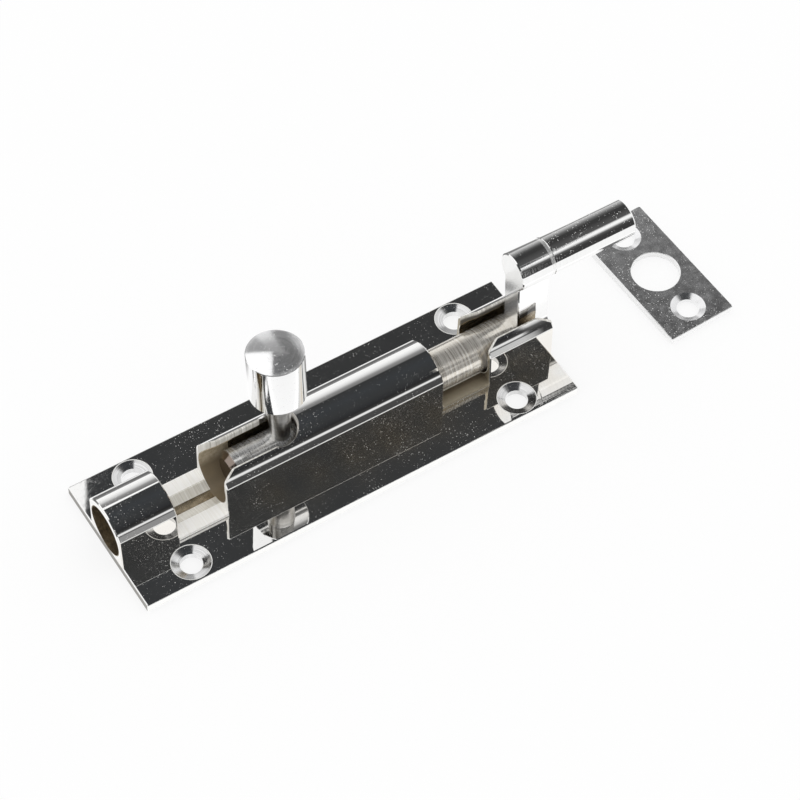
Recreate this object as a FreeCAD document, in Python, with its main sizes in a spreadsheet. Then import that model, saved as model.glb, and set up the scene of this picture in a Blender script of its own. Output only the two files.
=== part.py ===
import FreeCAD, Part
import os
import Sketcher

# Necked barrel bolt: an extruded backplate with its barrel, a sliding shoot that is cranked
# by a neck, its knob, and the loose keep plate that the nose enters.
# Origin: centre of the backplate's back face. +X is the way the bolt is thrown, +Z leaves the door.

os.makedirs("parts", exist_ok=True)
doc = FreeCAD.newDocument("necked_barrel_bolt")

# Driving sizes, in millimetres and degrees

sizes = doc.addObject("Spreadsheet::Sheet", "Sizes")
size_rows = (
    ("plate_length", "102"),
    ("plate_width", "33"),
    ("plate_thickness", "2"),
    ("plate_edge_round", "0.3"),
    ("screw_from_end", "12.4"),
    ("screw_spread", "24"),
    ("screw_hole_radius", "2.35"),
    ("screw_sink_radius", "4.15"),
    ("screw_sink_depth", "0.7"),
    ("bore_floor", "0.05"),
    ("bore_clearance", "1.05"),
    ("barrel_wall", "1.65"),
    ("side_foot_inset", "0.6"),
    ("side_crease_inset", "0.84"),
    ("crease_round", "0.3"),
    ("ledge_height", "0.95"),
    ("rear_length", "12.9"),
    ("guide_length", "15.6"),
    ("notch_clearance", "2"),
    ("end_edge_bevel", "0.25"),
    ("slot_clearance", "1"),
    ("slot_end_clearance", "0.1"),
    ("slot_end_radius", "4.15"),
    ("slot_rim_bevel", "0.4"),
    ("mouth_flare", "1.6"),
    ("mouth_length", "3.1"),
    ("rod_radius", "4.4"),
    ("rod_running_gap", "0.15"),
    ("rod_tail", "12.6"),
    ("rod_bevel", "1.2"),
    ("throw", "20.5"),
    ("shoot_roll", "3"),
    ("spigot_radius", "2.5"),
    ("spigot_length", "5"),
    ("spigot_end_gap", "0.3"),
    ("neck_width", "5.2"),
    ("neck_thickness", "7.3"),
    ("neck_offset", "19.1"),
    ("neck_shoulder_round", "1.3"),
    ("neck_edge_bevel", "0.25"),
    ("head_stand", "0.6"),
    ("foot_inset", "0.25"),
    ("nose_radius", "4.15"),
    ("nose_length", "20"),
    ("nose_seam_bevel", "0.25"),
    ("nose_end_bevel", "0.4"),
    ("knob_ahead", "1.28"),
    ("stem_base_radius", "1.95"),
    ("stem_top_radius", "2.98"),
    ("stem_length", "13.1"),
    ("stem_seat_depth", "0.6"),
    ("knob_base_radius", "5.84"),
    ("knob_top_radius", "5.89"),
    ("knob_head_height", "12.2"),
    ("knob_dome", "0.5"),
    ("knob_rim_bevel", "0.12"),
    ("peg_radius", "1.5"),
    ("peg_length", "3"),
    ("keep_length", "33"),
    ("keep_width", "16.3"),
    ("keep_thickness", "1.6"),
    ("keep_corner_radius", "0.5"),
    ("keep_edge_bevel", "0.2"),
    ("keep_hole_radius", "5.25"),
    ("keep_hole_bevel", "0.15"),
    ("keep_screw_spread", "22.74"),
    ("keep_screw_hole_radius", "2.4"),
    ("keep_sink_radius", "3.78"),
    ("keep_sink_depth", "0.65"),
    ("keep_apart", "31.5"),
    ("keep_aside", "0.6"),
    ("keep_turn", "2.2"),
)
for row, (alias, value) in enumerate(size_rows, start=1):
    sizes.set(f"A{row}", alias)
    sizes.set(f"B{row}", value)
    sizes.setAlias(f"B{row}", alias)
doc.recompute()

# Places and sizes that follow from the driving ones

places = doc.addObject("Spreadsheet::Sheet", "Places")
place_rows = (
    ("origin_zero", "=0"),
    ("half_length", "=Sizes.plate_length / 2"),
    ("half_width", "=Sizes.plate_width / 2"),
    ("plate_top", "=Sizes.plate_thickness"),
    ("screw_x", "=half_length - Sizes.screw_from_end"),
    ("screw_y", "=Sizes.screw_spread / 2"),
    ("screw_sink_angle",
     "=2 * atan((Sizes.screw_sink_radius - Sizes.screw_hole_radius) / Sizes.screw_sink_depth)"),
    ("bore_radius", "=Sizes.rod_radius + Sizes.bore_clearance"),
    ("bore_axis", "=plate_top + Sizes.bore_floor + bore_radius"),
    ("barrel_radius", "=bore_radius + Sizes.barrel_wall"),
    ("barrel_side", "=barrel_radius - Sizes.side_foot_inset"),
    ("crease_side", "=barrel_radius - Sizes.side_crease_inset"),
    ("crease_height", "=bore_axis + sqrt(barrel_radius ^ 2 - crease_side ^ 2)"),
    ("above_barrel", "=bore_axis + barrel_radius + Sizes.plate_thickness"),
    ("ledge_top", "=plate_top + Sizes.ledge_height"),
    ("notch_length", "=Sizes.neck_thickness + 2 * Sizes.notch_clearance"),
    ("rear_notch_start", "=-half_length + Sizes.rear_length"),
    ("rear_notch_end", "=rear_notch_start + notch_length"),
    ("rear_notch_middle", "=rear_notch_start + notch_length / 2"),
    ("front_notch_end", "=half_length - Sizes.guide_length"),
    ("front_notch_start", "=front_notch_end - notch_length"),
    ("front_notch_middle", "=front_notch_end - notch_length / 2"),
    ("past_front", "=half_length + notch_length / 2"),
    ("slot_side", "=Sizes.neck_width / 2 + Sizes.slot_clearance"),
    ("mouth_side", "=slot_side + Sizes.mouth_flare"),
    ("mouth_inner", "=rear_notch_end + Sizes.mouth_length"),
    ("guide_inner_start", "=front_notch_end + Sizes.mouth_length"),
    ("guide_inner_end", "=half_length - Sizes.mouth_length"),
    ("neck_face", "=front_notch_start + Sizes.throw"),
    ("rod_axis", "=bore_axis - bore_radius + Sizes.rod_running_gap + Sizes.rod_radius"),
    ("knob_place", "=rear_notch_middle + Sizes.throw + Sizes.knob_ahead"),
    ("slot_tip", "=knob_place + Sizes.stem_top_radius + Sizes.slot_end_clearance"),
    ("slot_end_centre", "=slot_tip - Sizes.slot_end_radius"),
    ("slot_end_meet", "=slot_end_centre - sqrt(Sizes.slot_end_radius ^ 2 - slot_side ^ 2)"),
    ("knob_from_neck", "=knob_place - neck_face"),
    ("rod_tail_end", "=knob_from_neck - Sizes.rod_tail"),
    ("rod_bevel_end", "=rod_tail_end + Sizes.rod_bevel"),
    ("rod_bevel_radius", "=Sizes.rod_radius - Sizes.rod_bevel"),
    ("spigot_hole_depth", "=Sizes.spigot_length + Sizes.spigot_end_gap"),
    ("neck_side", "=Sizes.neck_width / 2"),
    ("head_thickness", "=Sizes.neck_thickness + Sizes.head_stand"),
    ("foot_radius", "=Sizes.rod_radius - Sizes.foot_inset"),
    ("nose_spigot_start", "=head_thickness - Sizes.spigot_length"),
    ("nose_seam_end", "=head_thickness + Sizes.nose_seam_bevel"),
    ("nose_seam_radius", "=Sizes.nose_radius - Sizes.nose_seam_bevel"),
    ("nose_tip", "=head_thickness + Sizes.nose_length"),
    ("stem_seat", "=Sizes.rod_radius - Sizes.stem_seat_depth"),
    ("peg_end", "=stem_seat - Sizes.peg_length"),
    ("knob_base", "=Sizes.rod_radius + Sizes.stem_length"),
    ("knob_rim", "=knob_base + Sizes.knob_head_height"),
    ("knob_crown", "=knob_rim + Sizes.knob_dome"),
    ("knob_dome_centre",
     "=knob_crown - (Sizes.knob_top_radius ^ 2 + Sizes.knob_dome ^ 2) / (2 * Sizes.knob_dome)"),
    ("keep_half_length", "=Sizes.keep_length / 2"),
    ("keep_half_width", "=Sizes.keep_width / 2"),
    ("keep_place", "=half_length + Sizes.keep_apart"),
    ("keep_screw_y", "=Sizes.keep_screw_spread / 2"),
    ("keep_sink_angle",
     "=2 * atan((Sizes.keep_sink_radius - Sizes.keep_screw_hole_radius) / Sizes.keep_sink_depth)"),
)
for row, (alias, formula) in enumerate(place_rows, start=1):
    places.set(f"A{row}", alias)
    places.set(f"B{row}", formula)
    places.setAlias(f"B{row}", alias)
    doc.recompute()

size_names = [alias for alias, value in size_rows]


# Helpers for sketches whose every dimension is bound to a named cell

def cell(name):
    """Formula for a named cell, or for its negative when the name has a leading minus."""
    sign = "-" if name.startswith("-") else ""
    plain = name.lstrip("-")
    sheet = "Sizes" if plain in size_names else "Places"
    return f"{sign}{sheet}.{plain}"


def number(name):
    """Present value of a named cell, with its sign."""
    plain = name.lstrip("-")
    sheet = sizes if plain in size_names else places
    value = float(sheet.get(plain))
    return -value if name.startswith("-") else value


def origin_plane(body, role):
    """The body's own origin plane with the given role."""
    for feature in body.Origin.OriginFeatures:
        if feature.Role == role:
            return feature


def new_body(label):
    """An empty body whose label is the node's name."""
    body = doc.addObject("PartDesign::Body", label)
    body.Label = label
    return body


def new_sketch(body, label, role, shift=(None, None, None)):
    """A sketch on an origin plane, shifted along its own x, y and normal by named cells."""
    sketch = body.newObject("Sketcher::SketchObject", label)
    sketch.AttachmentSupport = [(origin_plane(body, role), "")]
    sketch.MapMode = "FlatFace"
    for axis, name in zip("xyz", shift):
        if name:
            sketch.setExpression(f"AttachmentOffset.Base.{axis}", cell(name))
    return sketch


def place_point(sketch, geometry, point, x_name, y_name):
    """Hold one point of a sketch at two named distances from the sketch's origin."""
    if x_name:
        index = sketch.addConstraint(
            Sketcher.Constraint("DistanceX", -1, 1, geometry, point, number(x_name)))
        sketch.setExpression(f"Constraints[{index}]", cell(x_name))
    if y_name:
        index = sketch.addConstraint(
            Sketcher.Constraint("DistanceY", -1, 1, geometry, point, number(y_name)))
        sketch.setExpression(f"Constraints[{index}]", cell(y_name))


def draw_outline(sketch, corners, arcs=None):
    """A closed outline through named corners.

    arcs maps the index of a side to (centre x, centre y, held axis, way round): that side is
    an arc from its corner to the next one, and only the centre's held coordinate is bound.
    """
    arcs = arcs or {}
    count = len(corners)
    points = [FreeCAD.Vector(number(x), number(y), 0) for x, y in corners]
    ends = []
    for side in range(count):
        start = points[side]
        end = points[(side + 1) % count]
        if side not in arcs:
            ends.append((sketch.addGeometry(Part.LineSegment(start, end), False), 1, 2))
            continue
        centre_x, centre_y, held, turn = arcs[side]
        centre = FreeCAD.Vector(number(centre_x), number(centre_y), 0)
        circle = Part.Circle(centre, FreeCAD.Vector(0, 0, 1), (start - centre).Length)
        first, last = (start, end) if turn > 0 else (end, start)
        arc = Part.ArcOfCircle(circle, circle.parameter(first), circle.parameter(last))
        geometry = sketch.addGeometry(arc, False)
        ends.append((geometry, 1, 2) if turn > 0 else (geometry, 2, 1))
    for side in range(count):
        geometry, start_point, end_point = ends[side]
        following, following_start, following_end = ends[(side + 1) % count]
        sketch.addConstraint(
            Sketcher.Constraint("Coincident", geometry, end_point, following, following_start))
        place_point(sketch, geometry, start_point, *corners[side])
        if side in arcs:
            centre_x, centre_y, held, turn = arcs[side]
            if held == "x":
                place_point(sketch, geometry, 3, centre_x, None)
            else:
                place_point(sketch, geometry, 3, None, centre_y)


def draw_circle(sketch, x_name, y_name, radius_name):
    """A circle with its centre and radius bound to named cells."""
    centre = FreeCAD.Vector(number(x_name), number(y_name), 0)
    circle = Part.Circle(centre, FreeCAD.Vector(0, 0, 1), number(radius_name))
    geometry = sketch.addGeometry(circle, False)
    place_point(sketch, geometry, 3, x_name, y_name)
    index = sketch.addConstraint(
        Sketcher.Constraint("Radius", geometry, number(radius_name)))
    sketch.setExpression(f"Constraints[{index}]", cell(radius_name))


def pad(body, sketch, label, length_name, both_ways=False):
    """Add material along the sketch's normal."""
    feature = body.newObject("PartDesign::Pad", label)
    feature.Profile = sketch
    feature.SideType = "Symmetric" if both_ways else "One side"
    feature.setExpression("Length", cell(length_name))
    doc.recompute()
    return feature


def cut(body, sketch, label, reverse=False, both_ways=False, depth_name=None):
    """Remove material through everything, or to a named depth, and see that some went."""
    before = body.Shape.Volume
    feature = body.newObject("PartDesign::Pocket", label)
    feature.Profile = sketch
    feature.SideType = "Symmetric" if both_ways else "One side"
    feature.Reversed = reverse
    if depth_name:
        feature.setExpression("Length", cell(depth_name))
    else:
        feature.Type = "ThroughAll"
    doc.recompute()
    if not body.Shape.Volume < before - 0.01:
        raise RuntimeError(f"{label} removed nothing")
    return feature


def revolve(body, sketch, label, axis):
    """Turn a half profile about one axis of its sketch."""
    feature = body.newObject("PartDesign::Revolution", label)
    feature.Profile = sketch
    feature.ReferenceAxis = (sketch, [axis])
    feature.Angle = 360
    doc.recompute()
    return feature


def edge_names(shape, wanted):
    """Names of the edges whose middle point passes the test."""
    names = []
    for index, edge in enumerate(shape.Edges, start=1):
        middle = edge.valueAt((edge.FirstParameter + edge.LastParameter) / 2)
        if wanted(edge, middle):
            names.append(f"Edge{index}")
    return names


def near(first, second, tolerance=0.01):
    """Whether two lengths are the same."""
    return abs(first - second) < tolerance


def dress(body, kind, label, size_name, wanted):
    """Round or bevel the edges of the body's tip that pass the test."""
    base = body.Tip
    names = edge_names(base.Shape, wanted)
    feature = body.newObject(f"PartDesign::{kind}", label)
    feature.Base = (base, names)
    feature.setExpression("Radius" if kind == "Fillet" else "Size", cell(size_name))
    doc.recompute()
    return feature


def screw_holes(body, sketch, label, radius_name, sink_radius_name, sink_angle_name):
    """Countersunk holes right through, at each circle of the sketch."""
    doc.recompute()
    feature = body.newObject("PartDesign::Hole", label)
    feature.Profile = sketch
    feature.DepthType = "ThroughAll"
    feature.HoleCutType = "Countersink"
    feature.HoleCutCustomValues = True
    feature.setExpression("Diameter", f"2 * {cell(radius_name)}")
    feature.setExpression("HoleCutDiameter", f"2 * {cell(sink_radius_name)}")
    feature.setExpression("HoleCutCountersinkAngle", cell(sink_angle_name))
    doc.recompute()
    return feature


# Backplate and barrel, one extruded section that is milled afterwards

backplate = new_body("barrel_backplate")
section = new_sketch(backplate, "extruded_section", "YZ_Plane")
draw_outline(
    section,
    (("-half_width", "origin_zero"), ("half_width", "origin_zero"),
     ("half_width", "plate_top"), ("barrel_side", "plate_top"),
     ("crease_side", "crease_height"), ("-crease_side", "crease_height"),
     ("-barrel_side", "plate_top"), ("-half_width", "plate_top")),
    {4: ("origin_zero", "bore_axis", "y", 1)})
draw_circle(section, "origin_zero", "bore_axis", "bore_radius")
pad(backplate, section, "extrusion", "plate_length", both_ways=True)

dress(backplate, "Fillet", "barrel_creases", "crease_round",
      lambda edge, middle: near(abs(middle.y), number("crease_side"))
      and near(middle.z, number("crease_height")))
dress(backplate, "Fillet", "plate_long_edges", "plate_edge_round",
      lambda edge, middle: near(abs(middle.y), number("half_width"))
      and near(middle.z, number("plate_top")))

# Two cross notches, where the neck and the knob's stem can be turned aside

notches = new_sketch(backplate, "cross_notches", "XZ_Plane")
draw_outline(notches, (
    ("rear_notch_start", "ledge_top"), ("rear_notch_end", "ledge_top"),
    ("rear_notch_end", "above_barrel"), ("rear_notch_start", "above_barrel")))
draw_outline(notches, (
    ("front_notch_start", "ledge_top"), ("front_notch_end", "ledge_top"),
    ("front_notch_end", "above_barrel"), ("front_notch_start", "above_barrel")))
cut(backplate, notches, "milled_notches", both_ways=True)

# Knob slot with a flared mouth towards the rear notch and a slightly wider round closed end

knob_slot = new_sketch(backplate, "knob_slot", "XY_Plane", (None, None, "bore_axis"))
draw_outline(
    knob_slot,
    (("rear_notch_middle", "-mouth_side"), ("rear_notch_end", "-mouth_side"),
     ("mouth_inner", "-slot_side"), ("slot_end_meet", "-slot_side"),
     ("slot_end_meet", "slot_side"), ("mouth_inner", "slot_side"),
     ("rear_notch_end", "mouth_side"), ("rear_notch_middle", "mouth_side")),
    {3: ("slot_end_centre", "origin_zero", "x", 1)})
cut(backplate, knob_slot, "milled_knob_slot", reverse=True)

# Guide slot for the neck, right through the front arch and flared at both ends

guide_slot = new_sketch(backplate, "guide_slot", "XY_Plane", (None, None, "bore_axis"))
draw_outline(guide_slot, (
    ("front_notch_middle", "-mouth_side"), ("front_notch_end", "-mouth_side"),
    ("guide_inner_start", "-slot_side"), ("guide_inner_end", "-slot_side"),
    ("half_length", "-mouth_side"), ("past_front", "-mouth_side"),
    ("past_front", "mouth_side"), ("half_length", "mouth_side"),
    ("guide_inner_end", "slot_side"), ("guide_inner_start", "slot_side"),
    ("front_notch_end", "mouth_side"), ("front_notch_middle", "mouth_side")))
cut(backplate, guide_slot, "milled_guide_slot", reverse=True)


def on_outer_arch(point):
    """Whether a point lies on the barrel's outer arch."""
    reach = (point.y ** 2 + (point.z - number("bore_axis")) ** 2) ** 0.5
    return near(reach, number("barrel_radius"), 0.02)


def on_slot_rim(edge, middle):
    """Outer rim of a slot: its straight sides and round end, without the flares."""
    straight = near(abs(middle.y), number("slot_side"))
    round_end = (number("slot_end_meet") < middle.x < number("slot_tip") + 0.1
                 and abs(middle.y) < number("slot_end_radius") + 0.01)
    return on_outer_arch(middle) and (straight or round_end)


def on_arch_end(edge, middle):
    """Outer outline of the sawn and milled end faces of the three arches."""
    stations = ("-half_length", "rear_notch_start", "rear_notch_end",
                "front_notch_start", "front_notch_end", "half_length")
    at_station = any(near(middle.x, number(name)) for name in stations)
    outside = on_outer_arch(middle) or abs(middle.y) > number("crease_side") - 0.12
    upright = middle.z > number("ledge_top") + 0.1 and edge.BoundBox.XLength < 0.01
    return at_station and outside and upright and abs(middle.y) < number("barrel_side") + 0.01


def on_plate_end(edge, middle):
    """Top edges of the plate's two sawn ends, beside the barrel."""
    return (near(abs(middle.x), number("half_length")) and near(middle.z, number("plate_top"))
            and abs(middle.y) > number("barrel_side"))


dress(backplate, "Chamfer", "slot_rims", "slot_rim_bevel", on_slot_rim)
dress(backplate, "Chamfer", "end_edges", "end_edge_bevel",
      lambda edge, middle: on_arch_end(edge, middle) or on_plate_end(edge, middle))

screws = new_sketch(backplate, "screw_places", "XY_Plane", (None, None, "plate_top"))
for x_name in ("-screw_x", "screw_x"):
    for y_name in ("-screw_y", "screw_y"):
        draw_circle(screws, x_name, y_name, "screw_hole_radius")
screw_holes(backplate, screws, "screw_holes",
            "screw_hole_radius", "screw_sink_radius", "screw_sink_angle")


# The shoot's four pieces share one frame: its origin is on the rod's axis at the neck's rear face,
# its X axis is the rod's, and it leans about that axis by the play that the neck has in its guide.

def carry_on_shoot(body):
    """Seat a piece of the shoot in the barrel."""
    body.Placement = FreeCAD.Placement(
        FreeCAD.Vector(), FreeCAD.Rotation(FreeCAD.Vector(-1, 0, 0), number("shoot_roll")))
    body.setExpression("Placement.Base.x", cell("neck_face"))
    body.setExpression("Placement.Base.z", cell("rod_axis"))


# Rod, turned, with a bevelled tail, a spigot for the neck and a seat for the knob's stem

rod = new_body("shoot_rod")
rod_profile = new_sketch(rod, "rod_profile", "XZ_Plane")
draw_outline(rod_profile, (
    ("rod_tail_end", "origin_zero"), ("spigot_length", "origin_zero"),
    ("spigot_length", "spigot_radius"), ("origin_zero", "spigot_radius"),
    ("origin_zero", "rod_radius"), ("rod_bevel_end", "rod_radius"),
    ("rod_tail_end", "rod_bevel_radius")))
revolve(rod, rod_profile, "turned_rod", "H_Axis")
stem_seat = new_sketch(rod, "stem_seat_outline", "XY_Plane", (None, None, "stem_seat"))
draw_circle(stem_seat, "knob_from_neck", "origin_zero", "stem_base_radius")
cut(rod, stem_seat, "spotfaced_stem_seat", reverse=True)
peg_hole = new_sketch(rod, "peg_hole_outline", "XY_Plane", (None, None, "peg_end"))
draw_circle(peg_hole, "knob_from_neck", "origin_zero", "peg_radius")
cut(rod, peg_hole, "drilled_peg_hole", reverse=True)
carry_on_shoot(rod)

# Neck, a flat crank bar with a round foot on the rod and a round head that carries the nose

neck = new_body("neck")
bar_outline = new_sketch(neck, "bar_outline", "YZ_Plane")
draw_outline(bar_outline, (
    ("-neck_side", "origin_zero"), ("neck_side", "origin_zero"),
    ("neck_side", "neck_offset"), ("-neck_side", "neck_offset")))
pad(neck, bar_outline, "neck_bar", "neck_thickness")
foot_outline = new_sketch(neck, "foot_outline", "YZ_Plane")
draw_circle(foot_outline, "origin_zero", "origin_zero", "foot_radius")
pad(neck, foot_outline, "round_foot", "neck_thickness")
head_outline = new_sketch(neck, "head_outline", "YZ_Plane")
draw_circle(head_outline, "origin_zero", "neck_offset", "nose_radius")
pad(neck, head_outline, "round_head", "head_thickness")
dress(neck, "Fillet", "shoulders", "neck_shoulder_round",
      lambda edge, middle: near(abs(middle.y), number("neck_side"))
      and near(middle.x, number("neck_thickness") / 2)
      and abs(edge.tangentAt(edge.FirstParameter).x) > 0.99)
dress(neck, "Chamfer", "outline_bevels", "neck_edge_bevel",
      lambda edge, middle: near(middle.x, 0))
foot_hole = new_sketch(neck, "foot_hole_outline", "YZ_Plane")
draw_circle(foot_hole, "origin_zero", "origin_zero", "spigot_radius")
cut(neck, foot_hole, "drilled_foot", reverse=True, depth_name="spigot_hole_depth")
head_hole = new_sketch(neck, "head_hole_outline", "YZ_Plane", (None, None, "head_thickness"))
draw_circle(head_hole, "origin_zero", "neck_offset", "spigot_radius")
cut(neck, head_hole, "drilled_head", depth_name="spigot_hole_depth")
carry_on_shoot(neck)

# Nose, turned, with a fine bevel at its seam with the neck and a bevelled end

nose = new_body("nose")
nose_profile = new_sketch(nose, "nose_profile", "XZ_Plane", (None, "neck_offset", None))
draw_outline(nose_profile, (
    ("nose_spigot_start", "origin_zero"), ("nose_tip", "origin_zero"),
    ("nose_tip", "nose_radius"), ("nose_seam_end", "nose_radius"),
    ("head_thickness", "nose_seam_radius"), ("head_thickness", "spigot_radius"),
    ("nose_spigot_start", "spigot_radius")))
revolve(nose, nose_profile, "turned_nose", "H_Axis")
dress(nose, "Chamfer", "nose_end", "nose_end_bevel",
      lambda edge, middle: near(edge.BoundBox.XMin, number("nose_tip"))
      and edge.Length > number("nose_radius"))
carry_on_shoot(nose)

# Knob, turned in one with its tapered stem and the peg that holds it in the rod

knob = new_body("knob")
knob_profile = new_sketch(knob, "knob_profile", "XZ_Plane", ("knob_from_neck", None, None))
draw_outline(
    knob_profile,
    (("origin_zero", "peg_end"), ("peg_radius", "peg_end"),
     ("peg_radius", "stem_seat"), ("stem_base_radius", "stem_seat"),
     ("stem_base_radius", "rod_radius"), ("stem_top_radius", "knob_base"),
     ("knob_base_radius", "knob_base"), ("knob_top_radius", "knob_rim"),
     ("origin_zero", "knob_crown")),
    {7: ("origin_zero", "knob_dome_centre", "x", 1)})
revolve(knob, knob_profile, "turned_knob", "V_Axis")
dress(knob, "Chamfer", "knob_rims", "knob_rim_bevel",
      lambda edge, middle: edge.BoundBox.ZLength < 0.01
      and edge.BoundBox.XLength > 2 * number("stem_top_radius") + 0.5)
carry_on_shoot(knob)

# Keep plate, a flat plate with a round hole for the nose, lying apart from the bolt

keep = new_body("keep_plate")
keep_outline = new_sketch(keep, "keep_outline", "XY_Plane")
draw_outline(keep_outline, (
    ("-keep_half_width", "-keep_half_length"), ("keep_half_width", "-keep_half_length"),
    ("keep_half_width", "keep_half_length"), ("-keep_half_width", "keep_half_length")))
draw_circle(keep_outline, "origin_zero", "origin_zero", "keep_hole_radius")
pad(keep, keep_outline, "keep_blank", "keep_thickness")
dress(keep, "Fillet", "keep_corners", "keep_corner_radius",
      lambda edge, middle: near(abs(middle.x), number("keep_half_width"))
      and near(abs(middle.y), number("keep_half_length")))
dress(keep, "Chamfer", "keep_top_edges", "keep_edge_bevel",
      lambda edge, middle: near(middle.z, number("keep_thickness"))
      and max(abs(middle.x) - number("keep_half_width"),
              abs(middle.y) - number("keep_half_length")) > -0.5)
dress(keep, "Chamfer", "keep_hole_edge", "keep_hole_bevel",
      lambda edge, middle: near(middle.z, number("keep_thickness"))
      and near((middle.x ** 2 + middle.y ** 2) ** 0.5, number("keep_hole_radius")))
keep_screws = new_sketch(keep, "keep_screw_places", "XY_Plane", (None, None, "keep_thickness"))
for y_name in ("-keep_screw_y", "keep_screw_y"):
    draw_circle(keep_screws, "origin_zero", y_name, "keep_screw_hole_radius")
screw_holes(keep, keep_screws, "keep_screw_holes",
            "keep_screw_hole_radius", "keep_sink_radius", "keep_sink_angle")
keep.Placement = FreeCAD.Placement(
    FreeCAD.Vector(), FreeCAD.Rotation(FreeCAD.Vector(0, 0, 1), number("keep_turn")))
keep.setExpression("Placement.Base.x", cell("keep_place"))
keep.setExpression("Placement.Base.y", cell("keep_aside"))

# Check every object, then write one file for each piece

doc.recompute()
for item in doc.Objects:
    if "Invalid" in item.State or "Error" in item.State:
        raise RuntimeError(f"{item.Label} did not compute: {item.State}")

pieces = (backplate, rod, neck, nose, knob, keep)
for piece in pieces:
    if piece.Shape.isNull() or not piece.Shape.isValid() or len(piece.Shape.Solids) != 1:
        raise RuntimeError(f"{piece.Label} is not one valid solid")
for piece in pieces:
    piece.Shape.exportStep(f"parts/{piece.Label}.step")
    box = piece.Shape.BoundBox
    print(f"{piece.Label}: volume {piece.Shape.Volume:.1f} mm3, "
          f"x {box.XMin:.2f} to {box.XMax:.2f}, y {box.YMin:.2f} to {box.YMax:.2f}, "
          f"z {box.ZMin:.2f} to {box.ZMax:.2f}")
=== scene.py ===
import math
import bpy
from mathutils import Matrix, Vector

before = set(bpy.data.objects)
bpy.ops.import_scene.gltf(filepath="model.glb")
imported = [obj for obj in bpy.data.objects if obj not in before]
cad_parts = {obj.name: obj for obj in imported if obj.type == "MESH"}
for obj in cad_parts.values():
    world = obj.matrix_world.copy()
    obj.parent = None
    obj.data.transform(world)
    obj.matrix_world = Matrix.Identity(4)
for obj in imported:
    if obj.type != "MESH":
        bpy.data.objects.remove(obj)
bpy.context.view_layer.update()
scene = bpy.context.scene
scene.view_settings.view_transform = "Standard"


# ---- Camera -------------------------------------------------------------------------------------
# Above and to the left of the bolt's near side, about 0.6 m away, with a long lens.

camera_data = bpy.data.cameras.new("studio_camera")
camera_data.sensor_width = 36
camera_data.lens = 128.84
camera_data.clip_start = 0.01
camera_data.clip_end = 20
camera = bpy.data.objects.new("studio_camera", camera_data)
scene.collection.objects.link(camera)
camera_place = (-0.1728, -0.2882, 0.4809)
camera_right = Vector((0.8475, -0.5306, 0.0177))
camera_up = Vector((0.4217, 0.6930, 0.5848))
camera_back = camera_right.cross(camera_up)
camera_turn = Matrix((camera_right, camera_up, camera_back)).transposed().to_4x4()
camera.matrix_world = Matrix.Translation(camera_place) @ camera_turn
scene.camera = camera


# ---- Paper floor --------------------------------------------------------------------------------
# White paper that the bolt lies on, lit so that it fades into the white ground behind.
# The plating mirrors a glow painted on the paper, bright close to the bolt and to its right, and
# dim further off.

def add_node(tree, kind, inputs=None, **settings):
    """New node; each input, by name or number, takes a plain value or another node's output."""
    node = tree.nodes.new(kind)
    for name, value in settings.items():
        setattr(node, name, value)
    for label, value in (inputs or {}).items():
        if isinstance(value, bpy.types.NodeSocket):
            tree.links.new(value, node.inputs[label])
        else:
            node.inputs[label].default_value = value
    return node


def calculate(tree, operation, *values):
    inputs = dict(enumerate(values))
    return add_node(tree, "ShaderNodeMath", inputs, operation=operation).outputs[0]


def fade(tree, value, start, end):
    """0 up to the start, 1 from the end on, and even between them; the end may be the lower."""
    inputs = {"Value": value, "From Min": start, "From Max": end}
    return add_node(tree, "ShaderNodeMapRange", inputs).outputs[0]


def inside_range(tree, value, low, high):
    above = calculate(tree, "GREATER_THAN", value, low)
    return calculate(tree, "MULTIPLY", above, calculate(tree, "LESS_THAN", value, high))


def split_axes(tree, place):
    return add_node(tree, "ShaderNodeSeparateXYZ", {0: place}).outputs


def read_levels(tree, value, levels):
    """Grey level or colour for a value from 0 to 1, read off a row of places and their levels."""
    ramp = add_node(tree, "ShaderNodeValToRGB", {0: value})
    stops = ramp.color_ramp.elements
    for index, (place, level) in enumerate(levels):
        stop = stops[index] if index < 2 else stops.new(place)
        stop.position = place
        stop.color = (*level, 1) if isinstance(level, tuple) else (level, level, level, 1)
    return ramp.outputs["Color"]


bpy.ops.mesh.primitive_plane_add(size=6, location=(0, 0, 0))
floor = bpy.context.object
floor.name = "paper_floor"

paper = bpy.data.materials.new("white_paper")
paper.use_nodes = True
tree = paper.node_tree
tree.nodes.clear()

# the glow painted on the paper for the plating to mirror, from near to far and to the right
floor_place = add_node(tree, "ShaderNodeTexCoord").outputs["Object"]
floor_x, floor_y = split_axes(tree, floor_place)[:2]
floor_light = read_levels(tree, fade(tree, floor_y, -0.2, 0.2), (
    (0.0, 0.05), (0.34, 0.05), (0.37, 0.9), (0.44, 1.0), (0.448, 1.12),
    (0.46, 1.12), (0.47, 1.0), (0.560, 1.0), (0.570, 0.50), (0.580, 0.26),
    (0.59, 0.17), (0.625, 0.12), (0.72, 0.2), (1.0, 0.25)))
rightward = calculate(tree, "MULTIPLY_ADD", floor_y, -0.55, floor_x)
bright_right = calculate(tree, "MULTIPLY", fade(tree, rightward, 0.036, 0.046),
                         inside_range(tree, floor_y, -0.25, 0.15))
mirrored_light = calculate(tree, "MAXIMUM", floor_light, bright_right)

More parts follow.
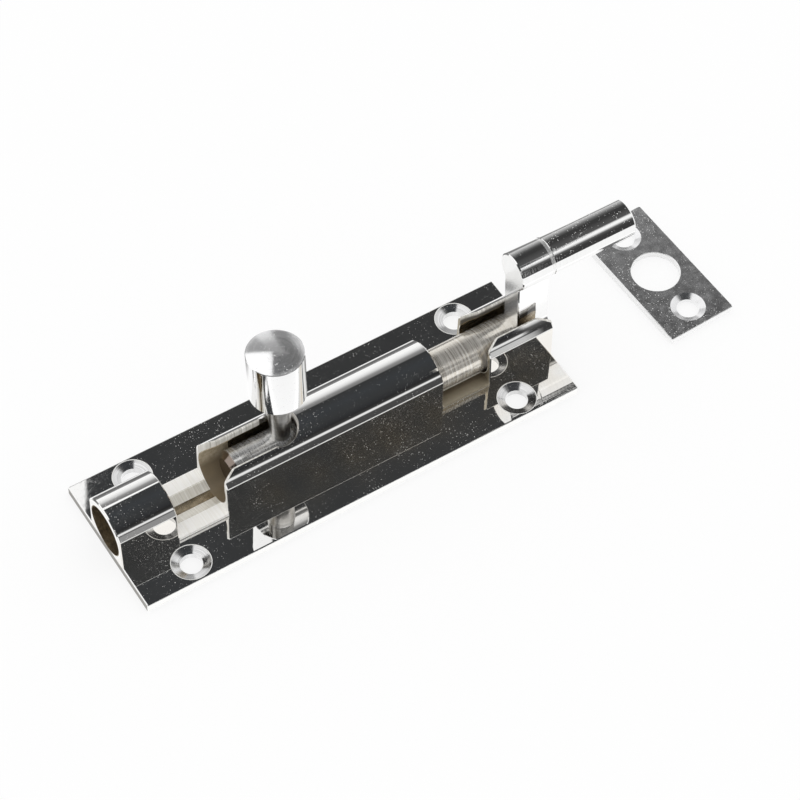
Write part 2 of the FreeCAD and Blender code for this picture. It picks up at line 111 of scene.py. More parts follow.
# seen straight on, the paper is mostly its own white, and the rest of it takes the bolt's shadow
own_white_share = 0.78
rays = add_node(tree, "ShaderNodeLightPath").outputs
seen_share = calculate(tree, "MULTIPLY", rays["Is Camera Ray"], own_white_share)
seen_share = calculate(tree, "ADD", seen_share, rays["Is Transmission Ray"])
sheet = add_node(tree, "ShaderNodeBsdfDiffuse", {"Color": (0.9, 0.9, 0.9, 1)}).outputs[0]
white_sheet = add_node(tree, "ShaderNodeEmission", {"Strength": 1.02}).outputs[0]
mirrored_sheet = add_node(
    tree, "ShaderNodeEmission", {"Color": mirrored_light, "Strength": 1.06}).outputs[0]
seen = add_node(tree, "ShaderNodeMixShader", {"Fac": seen_share, 1: sheet, 2: white_sheet})
mirrored = add_node(tree, "ShaderNodeMixShader", {
    "Fac": rays["Is Glossy Ray"], 1: seen.outputs[0], 2: mirrored_sheet})
add_node(tree, "ShaderNodeOutputMaterial", {"Surface": mirrored.outputs[0]})
floor.data.materials.append(paper)


# ---- Room ---------------------------------------------------------------------------------------
# Plain even light all round. What the plating mirrors of the room is a dark ceiling with a lamp
# strip low on the near side, a bright wall on the far side and soft panels to the left and right.

def blend_value(tree, share, first, second):
    inputs = {0: share, 2: first, 3: second}
    return add_node(tree, "ShaderNodeMix", inputs, data_type="FLOAT").outputs[0]


def blend_colour(tree, share, first, second):
    first, second = ((*value, 1) if isinstance(value, tuple) else value
                     for value in (first, second))
    inputs = {0: share, 6: first, 7: second}
    return add_node(tree, "ShaderNodeMix", inputs, data_type="RGBA").outputs[2]


def combine(tree, operation, first, *others):
    """Carries an operation through any number of values in turn."""
    for value in others:
        first = calculate(tree, operation, first, value)
    return first


def towards(tree, looking, way):
    inputs = {0: looking, 1: way}
    return add_node(tree, "ShaderNodeVectorMath", inputs, operation="DOT_PRODUCT").outputs["Value"]


world = bpy.data.worlds.new("studio_room")
scene.world = world
world.use_nodes = True
tree = world.node_tree
tree.nodes.clear()
looking = add_node(tree, "ShaderNodeTexCoord").outputs["Generated"]
along, farness, upness = split_axes(tree, looking)

# the angle about the bolt's length: 0 at the near horizon, 0.5 overhead, 1 at the far horizon
nearness = calculate(tree, "MULTIPLY", farness, -1)
half_turns = calculate(tree, "DIVIDE", calculate(tree, "ARCTAN2", upness, nearness), math.pi)

# to the left the far wall's bright part begins lower down
wall_lowered = 0.036
far_left = calculate(tree, "MULTIPLY", fade(tree, along, 0.255, 0.24),
                     fade(tree, half_turns, 0.6, 0.65))
ceiling_place = calculate(tree, "SUBTRACT", half_turns,
                          calculate(tree, "MULTIPLY", far_left, wall_lowered))
ceiling = read_levels(tree, ceiling_place, (
    (0.0, 0.11), (0.03, 0.075), (0.085, 0.07), (0.115, 0.08), (0.124, 0.85), (0.150, 0.92),
    (0.158, 0.30), (0.166, 0.055), (0.21, 0.022), (0.25, (0.032, 0.033, 0.036)),
    (0.33, (0.042, 0.044, 0.046)), (0.52, (0.046, 0.050, 0.055)), (0.68, (0.041, 0.042, 0.043)),
    (0.690, 0.08), (0.704, 0.22), (0.74, 0.26), (0.77, 0.38), (0.80, 0.68), (0.84, 0.88),
    (0.88, 1.02), (0.91, 1.08), (1.0, 1.08)))

# further to the right the lamp strip stands higher and the far wall is dimmer
right_ceiling = read_levels(tree, half_turns, (
    (0.0, 0.06), (0.03, 0.05), (0.13, 0.05), (0.20, 0.12), (0.235, 0.60), (0.27, 1.05),
    (0.328, 1.05), (0.352, 0.60), (0.38, 0.10), (0.50, 0.075), (0.60, 0.045), (0.70, 0.05),
    (0.76, 0.09), (0.80, 0.17), (0.84, 0.27), (0.90, 0.45), (0.95, 0.60), (1.0, 0.72)))
# at the strip's own height that part begins a little further off, to leave the flank dark
strip_kept_back = 0.0195
kept_back = calculate(tree, "MULTIPLY", inside_range(tree, half_turns, 0.309, 0.36),
                      strip_kept_back)
to_right = fade(tree, calculate(tree, "SUBTRACT", along, kept_back), 0.367, 0.370)
room_light = blend_colour(tree, to_right, ceiling, right_ceiling)

# a short lamp above the near side lights the rod where it lies open
short_lamp = calculate(tree, "MULTIPLY", inside_range(tree, along, 0.338, 0.353),
                       inside_range(tree, half_turns, 0.245, 0.300))
room_light = blend_colour(tree, short_lamp, room_light, (1.0, 0.97, 0.90))

# low on the near side it is light to the left and right of a dark stand
low_light = read_levels(tree, along, (
    (0.0, 0.30), (0.238, 0.30), (0.25, 0.07), (0.340, 0.07), (0.347, 0.58), (0.370, 0.62),
    (0.374, 0.045)))
room_light = blend_colour(tree, fade(tree, half_turns, 0.105, 0.095), room_light, low_light)

# the soft panel to the left, by how far a direction lies to the left and towards the near side
leftness = towards(tree, looking, (-0.8476, 0.5306, 0))
near_left = towards(tree, looking, (-0.5306, -0.8476, 0))
left_panel = combine(tree, "MULTIPLY", fade(tree, leftness, 0.0940, 0.0946),
                     fade(tree, near_left, -0.665, -0.655), fade(tree, near_left, 0.40, 0.36))
room_light = blend_colour(tree, left_panel, room_light, (1.08, 1.08, 1.08))

# the soft panel to the right ends above the far horizon
right_panel = combine(tree, "MULTIPLY", fade(tree, along, 0.46, 0.56),
                      fade(tree, half_turns, 0.2, 0.24), fade(tree, half_turns, 0.86, 0.80))
room_light = blend_colour(tree, right_panel, room_light, (0.95, 0.95, 0.95))

even_light = add_node(tree, "ShaderNodeBackground", {"Color": (1, 1, 1, 1)})
mirrored_room = add_node(tree, "ShaderNodeBackground", {"Color": room_light})
rays = add_node(tree, "ShaderNodeLightPath").outputs
room = add_node(tree, "ShaderNodeMixShader", {
    "Fac": rays["Is Glossy Ray"], 1: even_light.outputs[0], 2: mirrored_room.outputs[0]})
add_node(tree, "ShaderNodeOutputWorld", {"Surface": room.outputs[0]})


# ---- Backplate and barrel -----------------------------------------------------------------------
# One brass extrusion, sawn to length, milled across in two notches and slotted, then chrome plated.
# The plating is a mirror on the drawn faces, a satin cream on the milled ones, brown in the bore.

def new_group(name, inputs, outputs):
    group = bpy.data.node_groups.new(name, "ShaderNodeTree")
    for label, kind in inputs:
        group.interface.new_socket(name=label, in_out="INPUT", socket_type="NodeSocket" + kind)
    for label in outputs:
        group.interface.new_socket(name=label, in_out="OUTPUT", socket_type="NodeSocketFloat")
    return group, add_node(group, "NodeGroupInput").outputs


def place_group(tree, group, **values):
    inputs = {label.replace("_", " "): value for label, value in values.items()}
    return add_node(tree, "ShaderNodeGroup", inputs, node_tree=group).outputs


def calculate_vector(tree, operation, first, second):
    inputs = {0: first, 1: second}
    return add_node(tree, "ShaderNodeVectorMath", inputs, operation=operation).outputs["Vector"]


def noise(tree, place, scale, detail=2.0, roughness=0.5):
    return add_node(tree, "ShaderNodeTexNoise", {
        "Vector": place, "Scale": scale, "Detail": detail, "Roughness": roughness}).outputs[0]


def distance(tree, first, second):
    """Length of the slanting side between two measures that stand square to each other."""
    first_square = calculate(tree, "MULTIPLY", first, first)
    second_square = calculate(tree, "MULTIPLY", second, second)
    return calculate(tree, "SQRT", calculate(tree, "ADD", first_square, second_square))


def strongest(tree, *masks_and_shares):
    """The strongest of several masks, each times its own share."""
    return combine(tree, "MAXIMUM", *(
        calculate(tree, "MULTIPLY", mask, share) for mask, share in masks_and_shares))


def round_place(tree, radius, first, second):
    """Place whose first axis is the radius, so that cut lines laid along it run in rings."""
    turn = calculate(tree, "MULTIPLY", calculate(tree, "ARCTAN2", first, second), 3.0)
    return add_node(tree, "ShaderNodeCombineXYZ", {0: radius, 1: turn}).outputs[0]


# marks that handling leaves on bright plating: specks, dust, hairline scratches, a breath of haze
plating_marks, given = new_group("plating_marks", (
    ("Place", "Vector"), ("Speck Spacing", "Float"), ("Speck Radius", "Float"),
    ("Scratch Width", "Float")), ("Specks", "Dust", "Scratches", "Haze", "Height"))
tree = plating_marks
cells = add_node(tree, "ShaderNodeTexVoronoi", {"Scale": 1, "Vector": calculate_vector(
    tree, "DIVIDE", given["Place"], given["Speck Spacing"])}).outputs
chance = add_node(tree, "ShaderNodeSeparateColor", {0: cells["Color"]}).outputs[0]
patches = fade(tree, noise(tree, given["Place"], 0.11, 3, 0.6), 0.36, 0.66)
reach = combine(tree, "MULTIPLY", calculate(tree, "POWER", chance, 3.0), given["Speck Radius"],
                calculate(tree, "MULTIPLY_ADD", patches, 0.8, 0.55))
off_centre = calculate(tree, "MULTIPLY", cells["Distance"], given["Speck Spacing"])
specks = fade(tree, calculate(tree, "SUBTRACT", reach, off_centre), 0.0, 0.02)
bend = calculate_vector(tree, "MULTIPLY", noise(tree, given["Place"], 0.09), (0.5, 0.5, 0.5))
bent = calculate_vector(tree, "ADD", given["Place"], bend)
lines = []
for turn, length, apart in ((0.35, 240, 2.4), (-0.75, 200, 2.8), (1.35, 160, 3.2)):
    turned = add_node(tree, "ShaderNodeMapping", {
        "Vector": bent, "Rotation": (0, 0, turn),
        "Scale": (1 / length, 1 / apart, 1 / apart)}).outputs[0]
    strands = add_node(tree, "ShaderNodeTexVoronoi", {"Scale": 1, "Vector": turned}).outputs
    half_width = calculate(tree, "DIVIDE", given["Scratch Width"], apart)
    inside = calculate(tree, "SUBTRACT", half_width, strands["Distance"])
    lines.append(calculate(tree, "MAXIMUM", calculate(tree, "DIVIDE", inside, half_width), 0))
scratches = combine(tree, "MAXIMUM", *lines)
dust = fade(tree, noise(tree, given["Place"], 3.4, 2, 0.6), 0.57, 0.72)
swell = noise(tree, given["Place"], 0.13, 1)
peel = noise(tree, given["Place"], 0.9, 2)
height = calculate(tree, "MULTIPLY", swell, 0.0015)
height = calculate(tree, "MULTIPLY_ADD", peel, 0.0002, height)
height = calculate(tree, "MULTIPLY_ADD", scratches, -0.003, height)
add_node(tree, "NodeGroupOutput", {
    "Specks": specks, "Dust": calculate(tree, "MULTIPLY", dust, patches),
    "Scratches": scratches, "Haze": noise(tree, given["Place"], 0.5, 5, 0.65), "Height": height})

# lines that a cutter or a brush leaves, side by side along the first axis of the place given
cut_lines, given = new_group("cut_lines", (
    ("Place", "Vector"), ("Line Spacing", "Float"), ("Line Length", "Float"),
    ("Depth", "Float")), ("Lines", "Height"))
tree = cut_lines
stretch = add_node(tree, "ShaderNodeCombineXYZ", {
    0: given["Line Spacing"], 1: given["Line Length"], 2: given["Line Length"]}).outputs[0]
stretched = calculate_vector(tree, "DIVIDE", given["Place"], stretch)
broad = calculate(tree, "MULTIPLY", noise(tree, stretched, 0.35, 2, 0.6), 0.45)
fine = calculate(tree, "MULTIPLY", noise(tree, stretched, 1.0, 3, 0.7), 0.55)
lines = fade(tree, calculate(tree, "ADD", broad, fine), 0.36, 0.64)
add_node(tree, "NodeGroupOutput", {
    "Lines": lines, "Height": calculate(tree, "MULTIPLY", lines, given["Depth"])})

# corners rubbed dull, by the distance from the corner in millimetres
rubbed_corners, given = new_group("rubbed_corners", (
    ("Place", "Vector"), ("Distance", "Float"), ("Width", "Float")), ("Rubbed",))
tree = rubbed_corners
uneven = calculate(tree, "MULTIPLY_ADD", noise(tree, given["Place"], 0.5, 3, 0.6), 1.4, 0.1)
worn_width = calculate(tree, "MULTIPLY", given["Width"], uneven)
inside = calculate(tree, "SUBTRACT", worn_width, given["Distance"])
inside = calculate(tree, "DIVIDE", inside, given["Width"])
add_node(tree, "NodeGroupOutput", {"Rubbed": fade(tree, inside, 0.0, 0.5)})


def start_finish(name):
    """New material, with the place on the object in millimetres."""
    material = bpy.data.materials.new(name)
    material.use_nodes = True
    tree = material.node_tree
    corner = add_node(tree, "ShaderNodeTexCoord").outputs["Object"]
    return material, tree, calculate_vector(tree, "MULTIPLY", corner, (1000, 1000, 1000))


def finish_surface(tree, colour, metal, roughness, height):
    bump = add_node(tree, "ShaderNodeBump", {"Distance": 0.001, "Height": height}).outputs[0]
    shader = tree.nodes["Principled BSDF"]
    for label, value in (("Base Color", colour), ("Metallic", metal), ("Roughness", roughness),
                         ("Normal", bump)):
        tree.links.new(value, shader.inputs[label])


# sizes in millimetres
half_length, half_width, plate_top = 51.0, 16.5, 2.0
bore_height, bore_radius = 7.5, 5.45
rear_notch, front_notch, notch_half = -32.45, 29.75, 5.65
slot_reach = 4.0  # half the slots' width, with the bevel of their rims
mouth_flare = 1.6
rear_mouth, rear_mouth_end = -26.8, -23.7
guide_start, guide_narrow, guide_widens = 35.4, 38.5, 47.9
slot_end_centre, slot_end_reach, slot_tip = -11.74, 4.5, -7.1
hole_along, hole_across = 38.6, 12.0
sink_flat, sink_edge = 4.02, 4.2
crease_height = 10.85

chrome, tree, place = start_finish("chromed_extrusion")
x, y, z = split_axes(tree, place)
aside = calculate(tree, "ABSOLUTE", y)
from_middle = calculate(tree, "ABSOLUTE", x)
from_bore = distance(tree, y, calculate(tree, "SUBTRACT", z, bore_height))
in_bore = calculate(tree, "LESS_THAN", from_bore, bore_radius + 0.17)
on_plate = calculate(tree, "LESS_THAN", z, plate_top + 0.02)
over_plate = calculate(tree, "GREATER_THAN", z, plate_top + 0.15)
from_notch = combine(tree, "MINIMUM", *(
    calculate(tree, "ABSOLUTE", calculate(tree, "SUBTRACT", x, notch))
    for notch in (rear_notch, front_notch)))
in_notch = calculate(tree, "MULTIPLY", over_plate,
                     calculate(tree, "LESS_THAN", from_notch, notch_half + 0.02))

# the knob's slot, open to the rear, and the guide's slot, open at both ends
knob_side = calculate(tree, "MULTIPLY_ADD", fade(tree, x, rear_mouth_end, rear_mouth),
                      mouth_flare, slot_reach)
guide_mouths = calculate(tree, "MAXIMUM", fade(tree, x, guide_narrow, guide_start),
                         fade(tree, x, guide_widens, half_length))
guide_side = calculate(tree, "MULTIPLY_ADD", guide_mouths, mouth_flare, slot_reach)
past_centre = calculate(tree, "MAXIMUM", calculate(tree, "SUBTRACT", x, slot_end_centre), 0.0)
in_round_end = calculate(tree, "LESS_THAN", distance(tree, y, past_centre), slot_end_reach)
in_knob_slot = combine(
    tree, "MULTIPLY", inside_range(tree, x, rear_mouth, slot_tip),
    calculate(tree, "LESS_THAN", aside, knob_side),
    calculate(tree, "MAXIMUM", in_round_end, calculate(tree, "LESS_THAN", x, -14.0)))
in_guide_slot = calculate(tree, "MULTIPLY", inside_range(tree, x, guide_start, half_length + 0.1),
                          calculate(tree, "LESS_THAN", aside, guide_side))
in_slot = calculate(tree, "MULTIPLY", calculate(tree, "MAXIMUM", in_knob_slot, in_guide_slot),
                    calculate(tree, "GREATER_THAN", z, 9.6))
milled = calculate(tree, "MAXIMUM", in_notch, in_slot)
flank = calculate(tree, "MULTIPLY", inside_range(tree, z, plate_top + 0.02, 10.75),
                  calculate(tree, "GREATER_THAN", from_bore, 6.2))

across_hole = calculate(tree, "SUBTRACT", aside, hole_across)
along_hole = calculate(tree, "SUBTRACT", from_middle, hole_along)
from_hole = distance(tree, across_hole, along_hole)
in_sink = calculate(tree, "MULTIPLY", on_plate,
                    calculate(tree, "LESS_THAN", from_hole, sink_flat))
# painted highlight: the countersinks' thin rims are painted light
sink_rim_highlight = calculate(tree, "MULTIPLY", on_plate,
                     inside_range(tree, from_hole, sink_flat, sink_edge))
# the sawn end faces are rough, and their dark colour is also painted shade, for the shadowed paper
# beside the plate that they mirror
sawn_shaded_end = calculate(tree, "MULTIPLY", on_plate,
                 calculate(tree, "GREATER_THAN", from_middle, half_length - 0.03))

# brown film where the plate meets the barrel's near side, and a trace of it up the flanks
film_patches = fade(tree, noise(tree, place, 0.12, 2, 0.5), 0.25, 0.75)
film = combine(tree, "MULTIPLY", fade(tree, y, -half_width, -8.5), fade(tree, y, -5.5, -6.2),
               fade(tree, x, -30, -14), film_patches, 0.8, on_plate)
film = calculate(tree, "MAXIMUM", film, calculate(tree, "MULTIPLY", flank, 0.2))

marks = place_group(tree, plating_marks, Place=place, Speck_Spacing=0.28, Speck_Radius=0.085,
                    Scratch_Width=0.045)
cross_lines = place_group(tree, cut_lines, Place=place, Line_Spacing=0.16, Line_Length=9.0,
                          Depth=0.012)
sink_rings = place_group(
    tree, cut_lines, Place=round_place(tree, from_hole, across_hole, along_hole),
    Line_Spacing=0.14, Line_Length=5.0, Depth=0.004)
from_cut = calculate(tree, "MAXIMUM", calculate(tree, "SUBTRACT", from_notch, notch_half),
                     calculate(tree, "MULTIPLY", on_plate, 9.0))
from_corner = combine(
    tree, "MINIMUM", calculate(tree, "SUBTRACT", half_length, from_middle),
    calculate(tree, "SUBTRACT", half_width, aside), from_cut)
rubbed = place_group(tree, rubbed_corners, Place=place, Distance=from_corner,
                     Width=0.13)["Rubbed"]
# painted highlight: the crease along the barrel's shoulder is painted light, as one fine line
from_crease = calculate(tree, "ABSOLUTE", calculate(tree, "SUBTRACT", z, crease_height))
crease_highlight = calculate(tree, "MULTIPLY", fade(tree, from_crease, 0.16, 0.08),
                   calculate(tree, "GREATER_THAN", from_bore, 6.5))
# painted highlights sit in this mask too: the crease line and the countersinks' rims are painted
# light, beside the real specks, scratches, rubbing and dust
dulled = strongest(
    tree, (marks["Specks"], blend_value(tree, flank, 0.65, 0.4)), (marks["Scratches"], 0.2),
    (rubbed, 0.3), (crease_highlight, 0.75), (marks["Dust"], 0.12), (sink_rim_highlight, 0.8))

milled_tone = blend_colour(tree, fade(tree, cross_lines["Lines"], 0.0, 0.6),
                           (0.88, 0.86, 0.80), (1.0, 0.99, 0.96))
channel_tone = blend_colour(tree, cross_lines["Lines"], (0.66, 0.62, 0.53), (1.0, 0.98, 0.92))
slot_tone = blend_colour(tree, cross_lines["Lines"], (0.46, 0.44, 0.39), (1.0, 0.98, 0.94))
# painted shade: the walls of the slot's round end and the lower half of the guide's walls are
# painted dark
round_end_shade = calculate(tree, "MULTIPLY", inside_range(tree, x, -13.5, -6.0),
                      fade(tree, z, 14.0, 13.3))
low_wall_shade = calculate(tree, "MULTIPLY", calculate(tree, "GREATER_THAN", x, 30.0),
                     fade(tree, from_bore, 6.7, 6.2))
slot_tone = blend_colour(tree, calculate(tree, "MAXIMUM", round_end_shade, low_wall_shade), slot_tone,
                         (0.10, 0.09, 0.075))
# the front notch's floor kept a brown film, darker towards the rod
in_front = calculate(tree, "MULTIPLY", in_notch, calculate(tree, "GREATER_THAN", x, 0.0))
front_tone = blend_colour(tree, fade(tree, aside, 4.2, 6.3), (0.16, 0.13, 0.09),
                          (0.46, 0.41, 0.31))
# the bore is mottled brown; behind the knob's slot a tan pool of light is painted on it, with
# painted shade towards its bottom
mottle = fade(tree, noise(tree, place, 1.1, 4, 0.7), 0.3, 0.7)
by_slot = inside_range(tree, x, -27.0, -20.0)
painted_light_tone = blend_colour(tree, mottle, (0.44, 0.37, 0.26), (0.84, 0.74, 0.56))
painted_light_tone = blend_colour(tree, fade(tree, z, 5.0, bore_height), (0.26, 0.21, 0.14), painted_light_tone)
bore_tone = blend_colour(tree, mottle, (0.20, 0.16, 0.10), (0.48, 0.40, 0.28))
bore_tone = blend_colour(tree, by_slot, bore_tone, painted_light_tone)
sink_tone = blend_colour(tree, sink_rings["Lines"], (0.56, 0.56, 0.56), (0.84, 0.84, 0.84))

colour = blend_colour(tree, film, (0.87, 0.867, 0.857), (0.74, 0.63, 0.46))
for mask, tone in ((dulled, (0.93, 0.925, 0.90)), (in_sink, sink_tone),
                   (sawn_shaded_end, (0.30, 0.29, 0.27)), (in_slot, slot_tone), (in_notch, milled_tone),
                   (in_front, front_tone),
                   (in_bore, blend_colour(tree, in_notch, bore_tone, channel_tone))):
    colour = blend_colour(tree, mask, colour, tone)
metal = calculate(tree, "SUBTRACT", 1.0, calculate(tree, "MULTIPLY", film, 0.035))
lit_bore = calculate(tree, "MAXIMUM", in_notch, by_slot)
for mask, share in ((dulled, 0.1), (sawn_shaded_end, 0.6), (milled, blend_value(tree, in_front, 0.03, 0.6)),
                    (in_bore, blend_value(tree, lit_bore, 0.88, 0.2))):
    metal = blend_value(tree, mask, metal, share)
roughness = calculate(tree, "MULTIPLY_ADD", fade(tree, marks["Haze"], 0.45, 0.8), 0.03, 0.012)
roughness = calculate(tree, "MULTIPLY_ADD", film, 0.05, roughness)
for mask, share in ((in_sink, 0.13), (calculate(tree, "MAXIMUM", dulled, sawn_shaded_end), 0.5),
                    (milled, blend_value(tree, in_front, 0.42, 0.22)), (in_bore, 0.26)):
    roughness = blend_value(tree, mask, roughness, share)
cut_faces = calculate(tree, "MAXIMUM", milled, in_bore)
height = blend_value(tree, cut_faces, marks["Height"], cross_lines["Height"])
height = blend_value(tree, in_sink, height, sink_rings["Height"])
finish_surface(tree, colour, metal, roughness, height)
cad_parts["barrel_backplate"].material_slots[0].material = chrome


# ---- Sliding rod --------------------------------------------------------------------------------
# A turned rod, nickel coloured, its tail bevelled in the lathe. It was brushed while it spun, so
# fine lines run round it; it slides in the barrel's bore, which has polished its tail half.

nickel, tree, place = start_finish("brushed_nickel")
x = split_axes(tree, place)[0]
slid = fade(tree, x, 16, 4)
tail = fade(tree, x, -21.9, -22.2)
round_lines = place_group(tree, cut_lines, Place=place, Line_Spacing=0.10, Line_Length=6.0,
                          Depth=0.0035)
marks = place_group(tree, plating_marks, Place=place, Speck_Spacing=0.8, Speck_Radius=0.11,
                    Scratch_Width=0.05)
brushed_tone = blend_colour(tree, round_lines["Lines"], (0.64, 0.595, 0.52), (0.98, 0.95, 0.885))
polished_tone = blend_colour(tree, round_lines["Lines"], (0.58, 0.575, 0.56), (1.0, 0.995, 0.98))
colour = blend_colour(tree, slid, brushed_tone, polished_tone)
colour = blend_colour(tree, tail, colour, (0.27, 0.22, 0.19))
colour = blend_colour(tree, marks["Specks"], colour, (0.9, 0.88, 0.84))
metal = blend_value(tree, round_lines["Lines"], 0.80, 0.62)
bare = calculate(tree, "MAXIMUM", tail, calculate(tree, "MULTIPLY", slid, 0.1))
metal = blend_value(tree, bare, metal, 1.0)
roughness = calculate(tree, "MULTIPLY_ADD", round_lines["Lines"], 0.06, 0.14)
roughness = blend_value(tree, slid, roughness, 0.13)
finish_surface(tree, colour, metal, roughness, round_lines["Height"])
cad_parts["shoot_rod"].material_slots[0].material = nickel


# ---- Neck ---------------------------------------------------------------------------------------
# A flat crank bar with a round head, fixed on the rod's front end. It is polished and chrome
# plated; its long narrow corners have lost a little of the plating's shine.

neck_back, neck_front = 44.6, 51.9
worn_plating = (0.93, 0.93, 0.92)

neck_chrome, tree, place = start_finish("chromed_neck")
x = split_axes(tree, place)[0]
marks = place_group(tree, plating_marks, Place=place, Speck_Spacing=0.5, Speck_Radius=0.10,
                    Scratch_Width=0.05)
rise_lines = place_group(tree, cut_lines, Place=place, Line_Spacing=0.3, Line_Length=12.0,
                         Depth=0.0012)
from_face = calculate(tree, "MINIMUM", calculate(tree, "SUBTRACT", x, neck_back),
                      calculate(tree, "SUBTRACT", neck_front, x))
rubbed = place_group(tree, rubbed_corners, Place=place, Distance=from_face,
                     Width=0.12)["Rubbed"]
dulled = strongest(tree, (marks["Specks"], 1.0), (rubbed, 0.3))
colour = blend_colour(tree, fade(tree, marks["Haze"], 0.3, 0.7), (0.86, 0.86, 0.855),
                      (0.91, 0.91, 0.905))
colour = blend_colour(tree, dulled, colour, worn_plating)
metal = blend_value(tree, dulled, 1.0, 0.2)
roughness = calculate(tree, "MULTIPLY_ADD", fade(tree, marks["Haze"], 0.35, 0.75), 0.05, 0.02)
roughness = blend_value(tree, dulled, roughness, 0.4)
height = calculate(tree, "ADD", marks["Height"], rise_lines["Height"])
finish_surface(tree, colour, metal, roughness, height)
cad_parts["neck"].material_slots[0].material = neck_chrome


# ---- Nose ---------------------------------------------------------------------------------------
# The round pin that enters the keep. It is turned, chrome plated and fixed in the neck's head;
# it carries more specks than the rest, because it rubs in the keep.

nose_tip = 72.5

nose_chrome, tree, place = start_finish("chromed_nose")
x = split_axes(tree, place)[0]
marks = place_group(tree, plating_marks, Place=place, Speck_Spacing=0.28, Speck_Radius=0.10,
                    Scratch_Width=0.05)
turned_lines = place_group(tree, cut_lines, Place=place, Line_Spacing=0.2, Line_Length=9.0,
                           Depth=0.0010)
from_tip = calculate(tree, "SUBTRACT", nose_tip, x)
rubbed = place_group(tree, rubbed_corners, Place=place, Distance=from_tip, Width=0.5)["Rubbed"]
dulled = strongest(tree, (marks["Specks"], 1.0), (rubbed, 0.4), (marks["Scratches"], 0.35))
colour = blend_colour(tree, turned_lines["Lines"], (0.86, 0.86, 0.855), (0.90, 0.90, 0.895))
colour = blend_colour(tree, dulled, colour, worn_plating)
metal = blend_value(tree, dulled, 1.0, 0.15)
roughness = calculate(tree, "MULTIPLY_ADD", fade(tree, marks["Haze"], 0.35, 0.75), 0.04, 0.02)
roughness = blend_value(tree, dulled, roughness, 0.45)
height = calculate(tree, "ADD", marks["Height"], turned_lines["Height"])
finish_surface(tree, colour, metal, roughness, height)
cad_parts["nose"].material_slots[0].material = nose_chrome


# ---- Knob ---------------------------------------------------------------------------------------
# A turned head on a tapered stem, pegged into the rod. The side is polished; the slightly domed top
# keeps the lathe's rings and is duller. It leans with the rod by three degrees.

def split_own_axes(tree, place, centre, turn):
    """A piece's own three axes, from where its centre lies and how it is turned."""
    own_place = add_node(tree, "ShaderNodeMapping", {
        "Vector": place, "Location": centre, "Rotation": turn}, vector_type="TEXTURE").outputs[0]
    return split_axes(tree, own_place)


knob_along, rod_height = -10.67, 6.6
knob_lean = math.radians(-3)
knob_base, knob_rim = 17.5, 29.7  # above the rod's axis

knob_chrome, tree, place = start_finish("chromed_knob")
knob_x, knob_y, knob_z = split_own_axes(
    tree, place, (knob_along, 0, rod_height), (knob_lean, 0, 0))
off_axis = distance(tree, knob_x, knob_y)
on_top = calculate(tree, "GREATER_THAN", knob_z, knob_rim - 0.08)
on_stem = calculate(tree, "LESS_THAN", knob_z, knob_base - 0.1)
rings = place_group(tree, cut_lines, Place=round_place(tree, off_axis, knob_y, knob_x),
                    Line_Spacing=0.12, Line_Length=3.2, Depth=0.002)
height_place = add_node(tree, "ShaderNodeCombineXYZ", {0: knob_z, 1: knob_x}).outputs[0]
side_lines = place_group(tree, cut_lines, Place=height_place, Line_Spacing=0.25,
                         Line_Length=8.0, Depth=0.0012)
marks = place_group(tree, plating_marks, Place=place, Speck_Spacing=0.34, Speck_Radius=0.12,
                    Scratch_Width=0.05)
from_rim = calculate(tree, "ABSOLUTE", calculate(tree, "SUBTRACT", knob_z, knob_rim))
rubbed = place_group(tree, rubbed_corners, Place=place, Distance=from_rim,
                     Width=0.15)["Rubbed"]
dulled = calculate(tree, "MULTIPLY", marks["Specks"], blend_value(tree, on_top, 0.5, 1.0))
ring_tone = blend_colour(tree, rings["Lines"], (0.92, 0.92, 0.93), (1.0, 1.0, 1.0))
stem_tone = blend_colour(tree, side_lines["Lines"], (0.46, 0.45, 0.43), (0.74, 0.73, 0.71))
colour = blend_colour(tree, on_top, (0.90, 0.90, 0.90), ring_tone)
colour = blend_colour(tree, on_stem, colour, stem_tone)
colour = blend_colour(tree, dulled, colour, worn_plating)
metal = blend_value(tree, on_top, 1.0, blend_value(tree, rings["Lines"], 0.92, 0.82))
metal = blend_value(tree, dulled, metal, 0.2)
metal = blend_value(tree, calculate(tree, "MULTIPLY", rubbed, 0.3), metal, 0.3)
roughness = calculate(tree, "MULTIPLY_ADD", fade(tree, marks["Haze"], 0.35, 0.75), 0.04, 0.02)
for mask, share in ((on_top, 0.08), (on_stem, 0.28), (dulled, 0.4)):
    roughness = blend_value(tree, mask, roughness, share)
height = blend_value(tree, on_top, side_lines["Height"], rings["Height"])
finish_surface(tree, colour, metal, roughness, height)
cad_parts["knob"].material_slots[0].material = knob_chrome


# ---- Keep plate ---------------------------------------------------------------------------------
# A stamped plate with one large hole for the nose and two countersunk screw holes. Its plating is
# duller than the backplate's and well scratched; it lies loose beside the bolt.

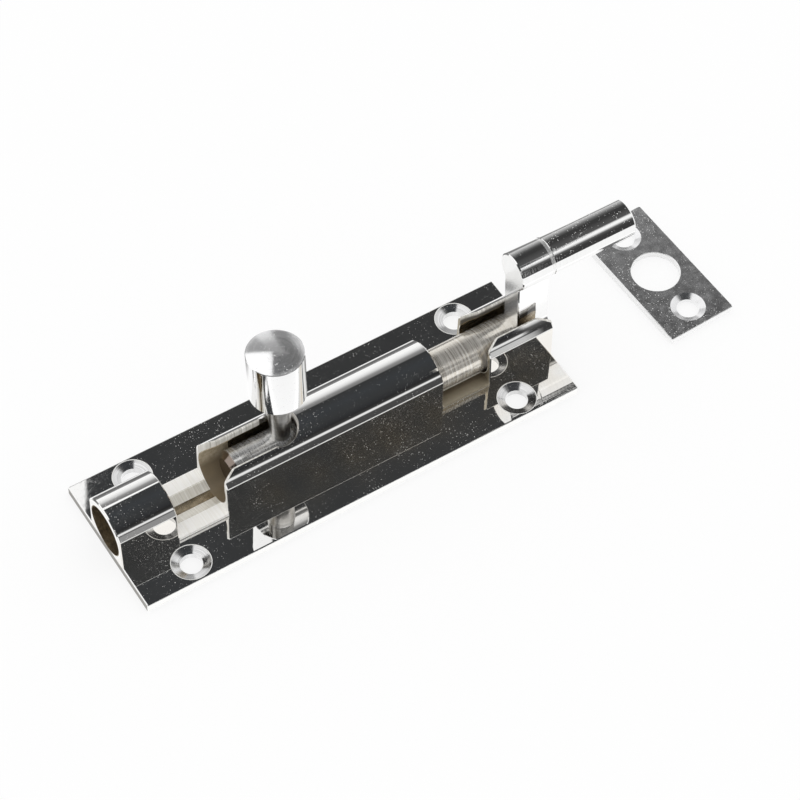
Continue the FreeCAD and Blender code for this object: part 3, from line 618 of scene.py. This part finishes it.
keep_centre, keep_turn = (82.5, 0.6, 0), math.radians(2.2)
keep_half_width, keep_half_length, keep_hole_radius = 8.15, 16.5, 5.25
keep_hole_across, keep_sink_flat = 11.37, 3.7

keep_chrome, tree, place = start_finish("chromed_keep")
keep_x, keep_y = split_own_axes(tree, place, keep_centre, (0, 0, keep_turn))[:2]
keep_aside = calculate(tree, "ABSOLUTE", keep_y)
from_side = calculate(tree, "SUBTRACT", keep_half_width, calculate(tree, "ABSOLUTE", keep_x))
from_end = calculate(tree, "SUBTRACT", keep_half_length, keep_aside)
from_hole = calculate(tree, "SUBTRACT", distance(tree, keep_x, keep_y), keep_hole_radius)
from_corner = combine(tree, "MINIMUM", from_side, from_end, from_hole)
rubbed = place_group(tree, rubbed_corners, Place=place, Distance=from_corner,
                     Width=0.2)["Rubbed"]
marks = place_group(tree, plating_marks, Place=place, Speck_Spacing=0.26, Speck_Radius=0.10,
                    Scratch_Width=0.07)
from_screw = distance(tree, keep_x, calculate(tree, "SUBTRACT", keep_aside, keep_hole_across))
on_flat = calculate(tree, "GREATER_THAN", from_screw, keep_sink_flat)
dulled = strongest(tree, (marks["Specks"], 1.0), (marks["Scratches"], 0.5), (rubbed, 0.4))
hazed = fade(tree, marks["Haze"], 0.3, 0.7)
bloom = calculate(tree, "MULTIPLY", fade(tree, keep_y, -16, 18), 0.10)
bloom = calculate(tree, "MULTIPLY_ADD", hazed, 0.07, bloom)
bloom = calculate(tree, "MULTIPLY", calculate(tree, "ADD", bloom, 0.04), on_flat)
colour = blend_colour(tree, hazed, (0.80, 0.80, 0.805), (0.87, 0.87, 0.875))
colour = blend_colour(tree, dulled, colour, worn_plating)
metal = calculate(tree, "SUBTRACT", 1.0, bloom)
metal = blend_value(tree, dulled, metal, 0.15)
roughness = calculate(tree, "MULTIPLY_ADD", fade(tree, marks["Haze"], 0.3, 0.75), 0.12, 0.08)
roughness = blend_value(tree, on_flat, 0.2, roughness)
roughness = blend_value(tree, dulled, roughness, 0.5)
finish_surface(tree, colour, metal, roughness, marks["Height"])
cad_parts["keep_plate"].material_slots[0].material = keep_chrome
